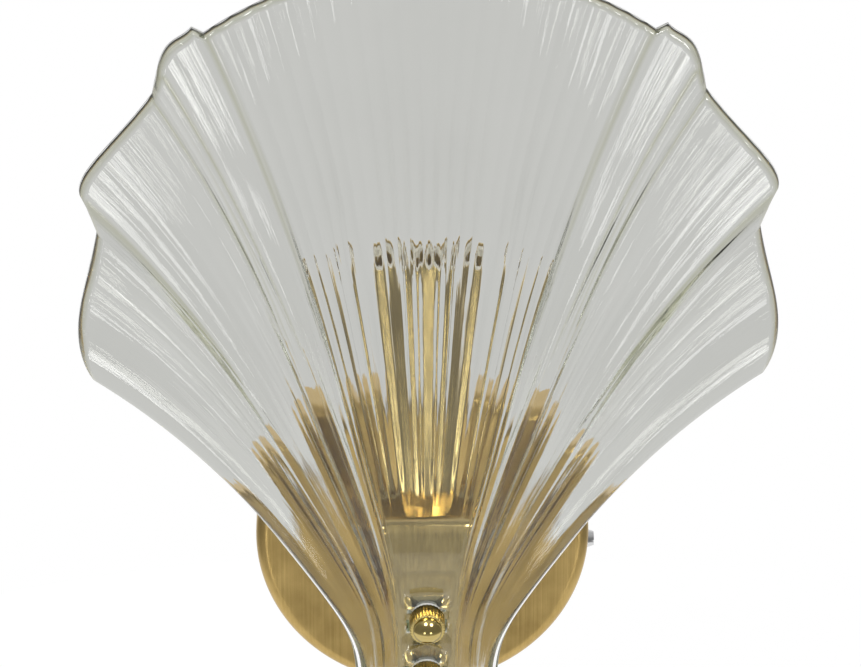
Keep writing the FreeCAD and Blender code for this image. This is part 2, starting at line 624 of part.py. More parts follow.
# ---- glass shell -----------------------------------------------------------------------------------
def smooth(value, low, high):
    """0 below low, 1 above high and an S curve between."""
    q = min(max((value - low) / (high - low), 0.0), 1.0)
    return q * q * (3 - 2 * q)


def lobe_of(line):
    """The lobe that a rib line lies in."""
    return next(lobe for lobe in range(len(LOBES)) if line <= LOBES[lobe][1])


def rim_radius(line, lobe):
    """Distance of the rim from the fan point, on a rib line."""
    first, last, start, end, swell, peak = LOBES[lobe]
    if lobe == 0:
        angle = math.radians(RIM_ANGLE * line / RIB_COUNT)
        return CREST_UP * math.cos(angle) + math.sqrt(CREST_R ** 2 - (CREST_UP * math.sin(angle)) ** 2)
    q = min(max((line - first) / (last - first), 0.0), 1.0)
    hump = (q / peak) ** 2 * ((1 - q) / (1 - peak)) ** (2 * (1 - peak) / peak)
    return start * (1 - q) + end * q + swell * hump


def line_foot(line):
    """Height at which a rib line starts: at the stem's lower end, or where it leaves the flat pad."""
    if line >= PAD_LOW_COUNT:
        return STEM_BOTTOM + STEM_ROUNDING * ((line - PAD_LOW_COUNT) / (RIB_COUNT - PAD_LOW_COUNT)) ** 2
    share = min((PAD_LOW_COUNT - line) / (PAD_LOW_COUNT - PAD_TOP_COUNT), 1.0)
    return STEM_BOTTOM + (PAD_TOP - STEM_BOTTOM) * share


def flute(line):
    """1 in the middle of a flute and 0 midway between two flutes."""
    return 0.5 + 0.5 * math.cos(2 * math.pi * max(line - FLUTE_FIRST, 0) / FLUTE_PITCH)


def fold_swell(line):
    """Added thickness of the glass at a rib line."""
    for (low, at_low), (high, at_high) in zip(FOLD_BANDS, FOLD_BANDS[1:]):
        if line <= high:
            break
    return at_low + (at_high - at_low) * (line - low) / (high - low)


def middle(line, s, lobe):
    """Point of the glass's middle surface at the share s of the length of a rib line."""
    u = line / RIB_COUNT
    foot = line_foot(line)
    top = rim_radius(line, lobe) * math.cos(math.radians(RIM_ANGLE * u))
    up = foot + (top - foot) * s
    climb = (up - STEM_BOTTOM) / (top - STEM_BOTTOM)
    spreading = max((climb - SPREAD_START) / (1 - SPREAD_START), 0.0) ** SPREAD_POWER
    spread = SIDE_ANGLE + (RIM_ANGLE - SIDE_ANGLE) * spreading
    drawn = u - RIB_DRAW_IN * (1 - climb) * DRAW_IN_SCALE * u ** 4 * (1 - u)
    fan = max(up, 0.0) * math.tan(math.radians(spread * drawn))
    x = ((u * STEM_HALF_WIDTH) ** STEM_BLEND + fan ** STEM_BLEND) ** (1 / STEM_BLEND)
    pad_climb = (up - STEM_BOTTOM) / (PAD_TOP - STEM_BOTTOM)
    pad_side = max(PAD_LOW_COUNT - (PAD_LOW_COUNT - PAD_TOP_COUNT) * pad_climb, PAD_TOP_COUNT)
    wall = max((line - pad_side) / (RIB_COUNT - pad_side), 0.0) ** 2
    wall_rise = WALL_RISE_STEM + (WALL_RISE_RIM - WALL_RISE_STEM) * smooth(up, WALL_FADE_UP, RIB_FULL_UP)
    first, last = LOBES[lobe][:2]
    petal = PETAL_RISE[lobe] * max((line - first) / (last - first), 0.0) ** 1.6
    fade = smooth(up, foot, foot + FADE_LENGTH)
    return on_plane(x, up, wall_rise * wall + (CUP_CURVE * x * x + petal * s) * fade)


def rib_line(line, side, steps=8):
    """Points of a rib line from its foot to the rim, on the front (side 1) or the back (side -1)."""
    lobe, nudge = lobe_of(line), 1e-3
    foot = line_foot(line)
    points = []
    for j in range(steps + 1):
        s = (j / steps) ** 1.6
        centre = middle(line, s, lobe)
        upward = middle(line, min(s + nudge, 1.0), lobe) - middle(line, max(s - nudge, 0.0), lobe)
        across = middle(line + nudge, s, lobe) - middle(max(line - nudge, 0), s, lobe)
        normal = across.cross(upward).normalize()
        if normal.dot(PLANE_OUT) < 0:
            normal = normal * -1
        if j == 0 and line <= PAD_LOW_COUNT:
            centre, normal = on_plane(centre.x, foot, 0), PLANE_OUT
        up = (centre - FAN_POINT).dot(PLANE_UP)
        thick = GLASS_THICK + (GLASS_RIM_THICK - GLASS_THICK) * s
        strength = min(up / RIB_FULL_UP, 1) * smooth(up, foot, foot + RIB_START_LENGTH)
        strength *= 1 - (1 - RIB_RIM_SHARE) * smooth(s, 0.5, 1)
        relief = 0
        if side > 0:
            valley = RIB_DEPTH * flute(line) if line % 2 else 0
            relief = strength * (FLUTE_SWELL * (flute(line) - 1) - valley)
            fold = 1 - (1 - FOLD_RIM_SHARE) * smooth(up, FOLD_FADE_UP, FOLD_GONE_UP)
            relief += fold_swell(line) * smooth(up, FOLD_START_UP, FOLD_FULL_UP) * fold
        points.append(centre + normal * (thick / 2 + relief) * side)
    return points


def both_sides(half):
    """Rib lines of the right half, and their mirror images, from left to right."""
    mirrored = [[Vector(-p.x, p.y, p.z) for p in line] for line in half[::-1] if abs(line[0].x) > 1e-6]
    return mirrored + half


def through(points):
    curve = Part.BSplineCurve()
    curve.interpolate(points)
    return curve.toShape()


def ruled(a, b):
    """Ruled face between two edges that run the same way."""
    return Part.makeRuledSurface(a, b, 1)


def flat(*corners):
    return Part.Face(Part.makePolygon(list(corners) + [corners[0]]))


def zigzag(front, back):
    """Edge of the glass between front points and the back points under every second one of them."""
    faces = []
    for i in range(0, len(front) - 1, 2):
        low, high = back[i // 2], back[i // 2 + 1]
        faces.append(flat(front[i], front[i + 1], low))
        faces.append(flat(front[i + 1], front[i + 2], high))
        faces.append(flat(front[i + 1], high, low))
    return faces


def glass_body():
    """Strips between rib lines, all of them in front and the valleys' lines behind, with pad and edges."""
    front = both_sides([rib_line(k, 1) for k in range(RIB_COUNT + 1)])
    back = both_sides([rib_line(k, -1) for k in range(1, RIB_COUNT + 1, 2)])
    side_lines = RIB_COUNT - PAD_LOW_COUNT              # rib lines beside the pad, on each side
    faces = zigzag([line[-1] for line in front], [line[-1] for line in back])
    for lines, beside in ((front, side_lines), (back, side_lines // 2)):
        curves = [through(points) for points in lines]
        faces += [ruled(a, b) for a, b in zip(curves, curves[1:])]
        feet = [line[0] for line in lines]
        faces.append(flat(*feet[beside:len(feet) - beside]))
    for half in (1, -1):
        front_feet = [line[0] for line in front[::half]][:side_lines + 1]
        back_feet = [line[0] for line in back[::half]][:side_lines // 2 + 1]
        faces += zigzag(front_feet, back_feet)
        faces.append(ruled(through(front[::half][0]), through(back[::half][0])))
    pad_front, pad_back = front[side_lines][0], back[side_lines // 2][0]
    faces.append(flat(pad_front, Vector(-pad_front.x, pad_front.y, pad_front.z),
                      Vector(-pad_back.x, pad_back.y, pad_back.z), pad_back))
    sewn = Part.Compound(faces)
    sewn.sewShape(1e-4)
    solid = Part.Solid(sewn.Shells[0])
    if solid.Volume < 0:
        solid.reverse()
    return solid


def glass_shell():
    glass = glass_body()
    for up in STUD_PLACES:
        base = on_plane(0, up, -2 * GLASS_THICK)
        glass = glass.cut(cylinder(GLASS_HOLE_R, 4 * GLASS_THICK, base, PLANE_OUT))
    return glass


# ---- all pieces -------------------------------------------------------------------------------------
PIECES = {
    "canopy": canopy,
    "wall_bracket": wall_bracket,
    "side_nut": side_nut,
    "side_screw": side_screw,
    "grommet": grommet,
    "terminal_block": terminal_block,
    "terminal_screws": terminal_screws,
    "earth_screw": earth_screw,
    "holder_strip": holder_strip,
    "strip_screws": strip_screws,
    "nipple": nipple,
    "star_washer": star_washer,
    "nipple_nut": nipple_nut,
    "sleeve_cup": sleeve_cup,
    "sleeve": sleeve,
    "holder_base": holder_base,
    "holder_body": holder_body,
    "thread_shell": thread_shell,
    "centre_contact": centre_contact,
    "lead_left": lambda: lead(-1),
    "lead_right": lambda: lead(1),
    "clamp_studs": clamp_studs,
    "rear_washers": rear_washers,
    "front_washers": front_washers,
    "knob_upper": lambda: knob(STUD_PLACES[0]),
    "knob_lower": lambda: knob(STUD_PLACES[1]),
    "glass_shell": glass_shell,
}


def main():
    os.makedirs("parts", exist_ok=True)
    for name, make in PIECES.items():
        shape = make()
        print(name, "solids", len(shape.Solids), "valid", shape.isValid(), "volume", round(shape.Volume, 1))
        shape.exportStep(f"parts/{name}.step")


main()
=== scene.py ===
"""Looks of a wall sconce with a pressed glass scallop shell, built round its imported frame.

The frame, the lamps and the camera are in metres. New pieces are worked out in millimetres and turned into
metres at the end. Heights ("up") and rib lines belong to the leaning plane of the glass.
"""

import json
import math

import bmesh
import bpy
import numpy as np
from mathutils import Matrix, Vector
from mathutils.geometry import delaunay_2d_cdt

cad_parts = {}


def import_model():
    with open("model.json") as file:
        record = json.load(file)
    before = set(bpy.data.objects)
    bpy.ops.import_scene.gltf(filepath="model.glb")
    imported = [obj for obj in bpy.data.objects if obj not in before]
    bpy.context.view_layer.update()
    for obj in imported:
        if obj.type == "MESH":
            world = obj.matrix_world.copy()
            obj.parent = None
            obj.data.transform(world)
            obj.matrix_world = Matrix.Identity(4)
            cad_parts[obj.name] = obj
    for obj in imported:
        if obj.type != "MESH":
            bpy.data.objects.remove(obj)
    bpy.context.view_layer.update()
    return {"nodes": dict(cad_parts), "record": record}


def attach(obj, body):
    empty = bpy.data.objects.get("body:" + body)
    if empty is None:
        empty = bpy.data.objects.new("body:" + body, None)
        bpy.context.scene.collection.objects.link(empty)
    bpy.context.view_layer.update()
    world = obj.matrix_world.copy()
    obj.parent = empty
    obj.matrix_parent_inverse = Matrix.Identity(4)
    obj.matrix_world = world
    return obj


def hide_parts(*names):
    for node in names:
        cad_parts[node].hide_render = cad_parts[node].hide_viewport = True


MM = 0.001

# ---- sizes of the glass shell, in millimetres and degrees ------------------------------------------------
FAN_OUT, FAN_Z, LEAN = 54.4, -41.4, math.radians(9.0)       # the fan point's place, and the plane's lean
GLASS_THICK, GLASS_RIM_THICK, GLASS_HOLE_R = 6.0, 5.0, 2.8
STUD_PLACES = (36.0, 14.0)                  # heights of the upper and the lower stud

# rib lines fan out from the middle (line 0) to the side edge (line RIB_COUNT)
RIB_COUNT = 55
RIM_ANGLE, SIDE_ANGLE = 37.6, 33.5          # of the last rib line, at the rim and low down
RIB_DRAW_IN, DRAW_IN_SCALE, SPREAD_START, SPREAD_POWER = 0.10, 12.2, 0.54, 1.8
STEM_HALF_WIDTH, STEM_BOTTOM, STEM_ROUNDING, STEM_BLEND = 21.25, -7.0, 6.0, 5
PAD_TOP, PAD_LINES_LOW, PAD_LINES_TOP = 72.8, 25, 15        # flat pad: height, half width in rib lines

# lobes of the rim: first and last rib line, rim distance at both, swell, and where it swells most
LOBES = [(0, 22, 0, 0, 0, 0.5), (23, 28, 255.0, 243.5, 3.3, 0.6),
         (29, 41, 238.9, 215.8, 5.8, 0.88), (42, 55, 205.7, 167.0, 5.6, 0.78)]
CREST_R, CREST_UP = 119.0, 144.6            # the middle lobe's rim is an arc of this radius and centre height
LOBE_RISE, LOBE_RISE_POWER = [1.0, 2.0, 2.6, 3.0], 1.6      # how far a lobe's last rib line stands out
CUP_CURVE, WALL_RISE_STEM, WALL_RISE_RIM, WALL_FADE_UP = 0.0007, 7.0, 1.5, 20.0
FADE_LENGTH = 50.0                          # length over which cup and lobes grow out of the foot

# ribs: a broad flute, with a valley on every odd rib line
FLUTE_PITCH, FLUTE_FIRST, FLUTE_SWELL = 8.0, 5.5, 0.5
RIB_DEPTH = 1.8                             # depth of a valley where the flute is highest
FLUTE_SHARE, OUTER_SHARE = 0.6, 0.2         # part of it that goes with the flute; part left on outer lobes
RIB_GROWTH = (75.0, 150.0)                  # heights between which the valleys deepen
RIB_START_LENGTH, RIB_FULL_UP, RIB_RIM_SHARE = 30.0, 150.0, 0.5

# notches of the front: rib line, half width in rib lines, depth
MIDDLE_NOTCHES = [(2.0, 1.1, 1.3), (4.5, 0.5, 0.8), (9.6, 2.0, 1.8), (13.5, 0.6, 0.9)]
MIDDLE_LINES, MIDDLE_END = 15.5, (150.0, 195.0)             # they replace the ribs up to this line and height
LOW_NOTCHES = [(19.6, 0.9, 0.8), (21.4, 0.7, 0.6), (28.0, 1.0, 0.9), (30.6, 1.1, 1.0), (33.4, 1.0, 0.9),
               (44.8, 0.8, 0.7), (46.6, 0.8, 0.7)]
LOW_START, LOW_END = (30.0, 60.0), (120.0, 185.0)
CREASES = [(21.9, 0.6, 0.7), (27.3, 0.5, 0.6), (29.2, 0.5, 0.7), (40.9, 0.6, 0.7)]
CREASE_GROWTH = (95.0, 150.0)

# swells beside the pad: rib line and added thickness, and the heights where they come and go
FOLD_BANDS = [(0, 0.0), (22, 0.0), (26, 5.2), (35, 0.2), (43, 4.6), (48, 0.4), (53, 3.2), (55, 1.6)]
FOLD_START, FOLD_END, FOLD_RIM_SHARE = (46.0, 84.0), (110.0, 200.0), 0.12

# painted olive shade along the glass's edges and creases, and streaks of the glass, for its material
EDGE_SHADE_DEPTH = 2.6                            # distance from the edge over which the painted olive shade fades
CREASE_SHADE, CREASE_SHADE_SLOPE = 1.1, 3.0   # distance that a crease counts as for the painted shade, and its growth per rib line
STREAK_START, STREAK_FULL = 2, 40           # above a rib line's foot

# grid of the glass
LINE_STEPS, UP_STEPS = 6, 58                # steps from one rib line to the next, and along a rib line
EDGE_R, EDGE_STEPS = 2.2, 7                 # rounding of the rim and the side edges
SIDE_LINE_WIDTH, SIDE_LINE_LENGTH = 1.6, 165.0              # width and length of the outer rib lines, roughly
FOOT_SHARES, FOOT_END = (0, 0.006, 0.013, 0.021, 0.03, 0.04), 0.053     # closer steps at the foot


def smooth(value, low, high):
    """0 up to low, 1 from high on, and 3q^2 - 2q^3 between them."""
    q = np.clip((value - low) / (high - low), 0, 1)
    return q * q * (3 - 2 * q)


def plane_to_world(points):
    """Points (across, up, out) of the leaning plane, in millimetres, as frame points in metres."""
    x, up, out = points[..., 0], points[..., 1], points[..., 2]
    s, c = math.sin(LEAN), math.cos(LEAN)
    return np.stack([x, -FAN_OUT - s * up - c * out, FAN_Z + c * up - s * out], -1) * MM


# ---- meshes ----------------------------------------------------------------------------------------------
def stand_for(piece, node):
    """The piece goes into the scene in the node's place and on its body, and the node is hidden."""
    bpy.context.scene.collection.objects.link(piece)
    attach(piece, bodies[node])
    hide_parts(node)


def mesh_piece(node, verts, faces, mat, sharp):
    """Piece from vertices in metres and faces, at the origin, with edges above an angle left sharp."""
    mesh = bpy.data.meshes.new(f"{node}_look")
    corners = [tuple(vertex) for vertex in np.asarray(verts, float)]
    mesh.from_pydata(corners, [], [tuple(int(i) for i in face) for face in faces])
    mesh.update()
    mesh.shade_smooth()
    mesh.set_sharp_from_angle(angle=math.radians(sharp))
    mesh.materials.append(mat)
    piece = bpy.data.objects.new(f"{node}_look", mesh)
    stand_for(piece, node)
    return piece


def grid_faces(rows, columns, start=0, flip=False, wrap=False):
    """Quads of a grid of rows x columns vertices; wrap joins the last column to the first."""
    i, j = np.meshgrid(np.arange(rows - 1), np.arange(columns if wrap else columns - 1), indexing="ij")
    k = (j + 1) % columns
    quads = np.stack([i * columns + j, i * columns + k, (i + 1) * columns + k, (i + 1) * columns + j], -1)
    quads = quads.reshape(-1, 4) + start
    return quads[:, ::-1] if flip else quads


def axis_frame(axis):
    """Two directions square to an axis, and the axis at unit length."""
    axis = np.asarray(axis, float) / np.linalg.norm(axis)
    side = np.array([1.0, 0, 0]) if abs(axis[0]) < 0.9 else np.array([0, 0, 1.0])
    side = side - axis * side.dot(axis)
    side /= np.linalg.norm(side)
    return side, np.cross(axis, side), axis


def lathe(profile, base, axis, segments=96, ripple=None):
    """Closed surface turned from a profile of (radius, height) points in millimetres.

    A point is base + radius * (cos, sin)(angle) square to the axis + height along it. The profile runs up the
    outside and down the inside, so that the surface faces outwards. ripple(angle, height, radius) is added to
    the radius.
    """
    radii, heights = (column[:, None] for column in np.asarray(profile, float).T)
    angles = np.linspace(0, 2 * math.pi, segments, endpoint=False)
    r, h, a = np.broadcast_arrays(radii, heights, angles)
    if ripple:
        r = r + ripple(a, h, r)
    u, v, w = axis_frame(axis)
    points = (np.asarray(base, float) + r[..., None] * (np.cos(a)[..., None] * u + np.sin(a)[..., None] * v)
              + h[..., None] * w)
    return points.reshape(-1, 3) * MM, grid_faces(len(profile), segments, wrap=True)


def closed(profile):
    """The profile with its first point repeated at its end."""
    return list(profile) + [profile[0]]


def arc(centre_r, centre_h, radius, start, end, steps):
    """Points of an arc in a lathe profile, angles in degrees from the radial direction."""
    angles = np.radians(np.linspace(start, end, steps + 1))
    return [(centre_r + radius * math.cos(a), centre_h + radius * math.sin(a)) for a in angles]


# ---- glass shell -----------------------------------------------------------------------------------------
def rim_distance(line, lobe):
    """Distance from the fan point to the rim, along a rib line.

    The middle lobe's rim is an arc. The others run straight from start to end, with a hump of
    (q/peak)^2 ((1-q)/(1-peak))^(2(1-peak)/peak), where q is the share of the lobe's width.
    """
    first, last, start, end, swell, peak = LOBES[lobe]
    if lobe == 0:
        angle = np.radians(RIM_ANGLE * (line / RIB_COUNT))
        return CREST_UP * np.cos(angle) + np.sqrt(CREST_R ** 2 - (CREST_UP * np.sin(angle)) ** 2)
    q = np.clip((line - first) / (last - first), 0, 1)
    hump = (q / peak) ** 2 * ((1 - q) / (1 - peak)) ** (2 * (1 - peak) / peak)
    return start * (1 - q) + end * q + swell * hump


def foot_height(line):
    """Height where a rib line starts: on the stem's curved bottom, or on the pad's slanting side and top."""
    beyond = np.maximum(line - PAD_LINES_LOW, 0) / (RIB_COUNT - PAD_LINES_LOW)
    within = np.minimum((PAD_LINES_LOW - line) / (PAD_LINES_LOW - PAD_LINES_TOP), 1)
    return np.where(line >= PAD_LINES_LOW, STEM_BOTTOM + STEM_ROUNDING * beyond ** 2,
                    STEM_BOTTOM + (PAD_TOP - STEM_BOTTOM) * within)


def lobe_shape(line, s, lobe):
    """Middle surface of one lobe of the shell, in the leaning plane's millimetres, and the foot's height.

    s runs from 0 at the foot of a rib line to 1 at the rim. Across, the line follows (stem^5 + fan^5)^(1/5),
    where stem is its share of the stem's width and fan its straight run from the fan point. Out of the plane,
    the surface is the side wall's square law, a parabolic cup and each lobe's own rise.
    """
    first, last = LOBES[lobe][:2]
    u = line / RIB_COUNT
    foot = foot_height(line)
    top = rim_distance(line, lobe) * np.cos(np.radians(RIM_ANGLE * u))
    up = foot + (top - foot) * s
    climb = (up - STEM_BOTTOM) / (top - STEM_BOTTOM)
    spreading = np.maximum((climb - SPREAD_START) / (1 - SPREAD_START), 0) ** SPREAD_POWER
    spread = SIDE_ANGLE + (RIM_ANGLE - SIDE_ANGLE) * spreading
    drawn = u - RIB_DRAW_IN * (1 - climb) * DRAW_IN_SCALE * u ** 4 * (1 - u)
    fan = np.maximum(up, 0) * np.tan(np.radians(spread * drawn))
    x = ((u * STEM_HALF_WIDTH) ** STEM_BLEND + fan ** STEM_BLEND) ** (1 / STEM_BLEND)
    pad_climb = (PAD_LINES_LOW - PAD_LINES_TOP) * (up - STEM_BOTTOM) / (PAD_TOP - STEM_BOTTOM)
    pad_side = np.maximum(PAD_LINES_LOW - pad_climb, PAD_LINES_TOP)
    wall = np.maximum((line - pad_side) / (RIB_COUNT - pad_side), 0) ** 2
    wall_rise = WALL_RISE_STEM + (WALL_RISE_RIM - WALL_RISE_STEM) * smooth(up, WALL_FADE_UP, RIB_FULL_UP)
    rise = LOBE_RISE[lobe] * np.maximum((line - first) / (last - first), 0) ** LOBE_RISE_POWER
    fade = smooth(up, foot, foot + FADE_LENGTH)
    out = wall_rise * wall + (CUP_CURVE * x * x + rise * s) * fade
    return np.stack([x, up, out], -1), foot


def edge_loss(distance):
    """How much thinner each face lies at a distance from the edge, for an edge rounded with EDGE_R."""
    q = np.clip(1 - distance / EDGE_R, 0, 1)
    return EDGE_R * (1 - np.sqrt(1 - q * q))


def fold_swell(line, softness=0.35):
    """Added thickness at a rib line: straight between the bands' places, a little rounded at them."""
    places, heights = np.array(FOLD_BANDS).T
    return sum(np.interp(line + shift, places, heights) for shift in (-softness, 0, softness)) / 3


def notch_depth(line, notches):
    """Depth at a rib line, summed over notches whose sides are smooth steps."""
    return sum(depth * (1 - smooth(np.abs(line - place), 0, half)) for place, half, depth in notches)


def front_relief(line, s, up, foot, edge):
    """How far the front stands out beyond the plain thickness.

    The ribs are a cosine flute less valleys of 1 - |cos| on the odd rib lines. Creases and low notches cut
    into them, and notches of their own replace them low on the middle lobe. All this grows from the foot and
    weakens towards the rim, and the folds' swell comes on top.
    """
    flute = 0.5 + 0.5 * np.cos(2 * math.pi * np.maximum(line - FLUTE_FIRST, 0) / FLUTE_PITCH)
    valley = 1 - np.abs(np.cos(math.pi * line / 2))
    share = smooth(up, *RIB_GROWTH) * np.where(line > LOBES[0][1], OUTER_SHARE, 1)
    ribs = FLUTE_SWELL * (flute - 1) - RIB_DEPTH * (1 - FLUTE_SHARE + FLUTE_SHARE * flute) * valley * share
    ribs = ribs - notch_depth(line, CREASES) * smooth(up, *CREASE_GROWTH)
    ribs = ribs - notch_depth(line, LOW_NOTCHES) * (smooth(up, *LOW_START) * (1 - smooth(up, *LOW_END)))
    middle = np.where(line < MIDDLE_LINES, 1 - smooth(up, *MIDDLE_END), 0)
    relief = ribs * (1 - middle) - notch_depth(line, MIDDLE_NOTCHES) * middle
    strength = np.minimum(up / RIB_FULL_UP, 1) * smooth(up, foot, foot + RIB_START_LENGTH)
    strength = strength * (1 - (1 - RIB_RIM_SHARE) * smooth(s, 0.5, 1))
    fold = smooth(up, *FOLD_START) * (1 - (1 - FOLD_RIM_SHARE) * smooth(up, *FOLD_END))
    return relief * strength + fold_swell(line) * fold * np.clip(edge / EDGE_R, 0, 1)


def lobe_faces(line, s, lobe):
    """Points on the front and the back along one rib line, and its marks.

    Both faces are the middle surface offset along its normal. The marks are the rib line, the height, the
    distance from the nearest edge or crease, which sets the painted olive shade, and the share of streaks.
    """
    def shape(lines, shares):
        return lobe_shape(lines, shares, lobe)[0]

    nudge = 1e-3
    centre, foot = lobe_shape(line, s, lobe)
    upward = shape(line, np.minimum(s + nudge, 1)) - shape(line, np.maximum(s - nudge, 0))
    across = shape(line + nudge, s) - shape(np.maximum(line - nudge, 0), s)
    normal = np.cross(across, upward)
    normal /= np.linalg.norm(normal, axis=-1, keepdims=True)
    normal *= np.sign(normal[..., 2:])
    on_pad = (s <= 0) & (line <= PAD_LINES_LOW)
    normal = np.where(on_pad[..., None], np.array([0, 0, 1.0]), normal)
    centre[..., 2] = np.where(on_pad, 0, centre[..., 2])
    up = centre[..., 1]
    rim = shape(line, np.ones_like(s))
    side = lobe_shape(np.full_like(line, RIB_COUNT), s, len(LOBES) - 1)[0]
    edge = np.minimum(np.linalg.norm(rim - centre, axis=-1), np.linalg.norm(side - centre, axis=-1))
    half = (GLASS_THICK + (GLASS_RIM_THICK - GLASS_THICK) * s) / 2 - edge_loss(edge)
    front = centre + normal * (half + front_relief(line, s, up, foot, edge))[..., None]
    back = centre - normal * half[..., None]
    # distance that sets the painted olive shade: the edge, or a crease once it has grown
    beside_crease = min(np.abs(line[0] - place) for place, _, _ in CREASES)
    off_crease = beside_crease + (1 - smooth(up, *CREASE_GROWTH))
    shade_distance = np.minimum(edge, CREASE_SHADE + CREASE_SHADE_SLOPE * off_crease)
    streaked = smooth(up, foot + STREAK_START, foot + STREAK_FULL)
    return front, back, np.stack([line, up, shade_distance, streaked], -1)


def shell_half():
    """Front, back and mark grids of the right half, from the middle line to the side edge.

    One row holds one rib line or a line between two. Steps close up towards the rim and the side edge, by a
    quarter sine. Also given: the row of the pad's side.
    """
    closing = 1 - np.sin(np.linspace(0, math.pi / 2, EDGE_STEPS + 1))
    lines = np.arange(RIB_COUNT * LINE_STEPS + 1) / LINE_STEPS
    near_side = RIB_COUNT - EDGE_R / SIDE_LINE_WIDTH * closing
    clear_of_side = lines < near_side[0] - 0.05
    lines = np.concatenate([lines[clear_of_side], near_side])
    near_rim = 1 - EDGE_R / SIDE_LINE_LENGTH * closing
    plain = np.linspace(FOOT_END, near_rim[0], UP_STEPS - len(FOOT_SHARES) + 1)
    s = np.concatenate([FOOT_SHARES, plain[:-1], near_rim])
    grids = [np.zeros((len(lines), len(s), width)) for width in (3, 3, 4)]
    for i, line in enumerate(lines):
        lobe = next(k for k in range(len(LOBES)) if line < LOBES[k][1] + 1 or k == len(LOBES) - 1)
        end = LOBES[lobe][1]
        if line <= end:
            for grid, row in zip(grids, lobe_faces(np.full_like(s, line), s, lobe)):
                grid[i] = row
        else:                               # across a fold, between one lobe's end and the next one's start
            t = line - end
            low = lobe_faces(np.full_like(s, end), s, lobe)
            high = lobe_faces(np.full_like(s, end + 1.0), s, lobe + 1)
            for grid, a, b in zip(grids, low, high):
                grid[i] = a * (1 - t) + b * t
    return grids, int(np.argmin(np.abs(lines - PAD_LINES_LOW)))


def glass_shell(mat):
    """The whole shell as one closed surface: ribbed front, smooth back, pad with two holes, and edges."""
    (front, back, marks), pad_row = shell_half()
    beside = len(front) - 1 - pad_row
    mirrors = (-1, 1, 1), (-1, 1, 1), (-1, 1, 1, 1)
    front, back, marks = (np.concatenate([grid[:0:-1] * np.array(mirror), grid])
                          for grid, mirror in zip((front, back, marks), mirrors))
    lines, steps = front.shape[:2]
    size = lines * steps
    verts = np.concatenate([front.reshape(-1, 3), back.reshape(-1, 3)])
    faces = [grid_faces(lines, steps, 0, flip=True), grid_faces(lines, steps, size)]

    def across(run, flip=False):
        """Quads between a run of vertices on the front and the same run on the back."""
        quads = np.stack([run[:-1], run[1:], run[1:] + size, run[:-1] + size], -1)
        return quads[:, ::-1] if flip else quads

    feet = np.arange(lines) * steps
    pad = feet[beside:lines - beside]
    sides = np.arange(steps)
    faces += [across(feet + steps - 1, flip=True), across(feet[:beside + 1]), across(feet[-beside - 1:]),
              across(sides, flip=True), across(feet[-1] + sides), across(pad[[-1, 0]], flip=True)]
    verts, pad_faces = fill_pad(verts, pad, size)
    all_faces = [tuple(face) for block in faces for face in block] + pad_faces
    piece = mesh_piece("glass_shell", plane_to_world(verts), all_faces, mat, sharp=50)
    hole_marks = np.tile([0.0, 0.0, GLASS_THICK, 0.0], (len(verts) - 2 * size, 1))
    marks = np.concatenate([marks.reshape(-1, 4)] * 2 + [hole_marks]).astype(np.float32)
    # the third mark is the distance that sets the painted olive shade at edges and creases
    ribs = piece.data.attributes.new("ribs", "FLOAT_VECTOR", "POINT")
    ribs.data.foreach_set("vector", marks[:, :3].ravel())
    streaked = piece.data.attributes.new("streaked", "FLOAT", "POINT")
    streaked.data.foreach_set("value", marks[:, 3].copy())


def fill_pad(verts, pad, size, hole_steps=40):
    """Front and back of the flat pad, triangulated round the two stud holes, and the holes' walls."""
    angles = np.linspace(0, 2 * math.pi, hole_steps, endpoint=False)
    circle = GLASS_HOLE_R * np.stack([np.cos(angles), np.sin(angles)], -1)
    rings = np.concatenate([circle + (0, up) for up in STUD_PLACES])
    plane = np.concatenate([verts[pad][:, :2], rings])
    edges, start = [], 0
    for run in [len(pad)] + [hole_steps] * len(STUD_PLACES):
        edges += [(start + i, start + (i + 1) % run) for i in range(run)]
        start += run
    triangles = delaunay_2d_cdt([Vector(point) for point in plane], edges, [], 1, 1e-7)[2]
    ring_front = np.c_[rings, np.full(len(rings), GLASS_THICK / 2)]
    ring_back = ring_front * np.array([1, 1, -1])
    first = len(verts)
    verts = np.concatenate([verts, ring_front, ring_back])
    front_ids = list(pad) + list(range(first, first + len(rings)))
    back_ids = [i + size for i in pad] + list(range(first + len(rings), first + 2 * len(rings)))
    faces = []
    for a, b, c in triangles:
        middle = (plane[a] + plane[b] + plane[c]) / 3
        if any(np.hypot(middle[0], middle[1] - up) < GLASS_HOLE_R * 0.98 for up in STUD_PLACES):
            continue                        # a triangle inside a hole
        (ab_x, ab_y), (ac_x, ac_y) = plane[b] - plane[a], plane[c] - plane[a]
        order = (a, b, c) if ab_x * ac_y > ab_y * ac_x else (a, c, b)
        faces.append(tuple(front_ids[i] for i in order))
        faces.append(tuple(back_ids[i] for i in order[::-1]))
    for low in range(first, first + len(rings), hole_steps):
        for i in range(hole_steps):
            a, b = low + i, low + (i + 1) % hole_steps
            faces.append((a, b, b + len(rings), a + len(rings)))
    return verts, faces


# ---- shader nodes ----------------------------------------------------------------------------------------
def add(tree, kind, inputs=None, **settings):
    """Node of a kind, with settings, and inputs that are either values or sockets to link."""
    node = tree.nodes.new(f"ShaderNode{kind}")
    for key, value in settings.items():
        setattr(node, key, value)
    for key, value in (inputs or {}).items():
        if isinstance(value, bpy.types.NodeSocket):
            tree.links.new(value, node.inputs[key])
        else:
            node.inputs[key].default_value = value
    return node


def calc(tree, operation, *values):
    """Result of a Math node."""
    return add(tree, "Math", dict(enumerate(values)), operation=operation).outputs[0]


def ramp(tree, value, low, high, to_low, to_high, curve="LINEAR"):
    """Value moved from one range to another and held at its ends; curve SMOOTHSTEP rounds it at both."""
    inputs = dict(enumerate((value, low, high, to_low, to_high)))
    return add(tree, "MapRange", inputs, interpolation_type=curve).outputs[0]


def blend(tree, share, first, second):
    """Colour between two, by a share."""
    return add(tree, "Mix", {"Factor": share, "A": first, "B": second}, data_type="RGBA").outputs["Result"]


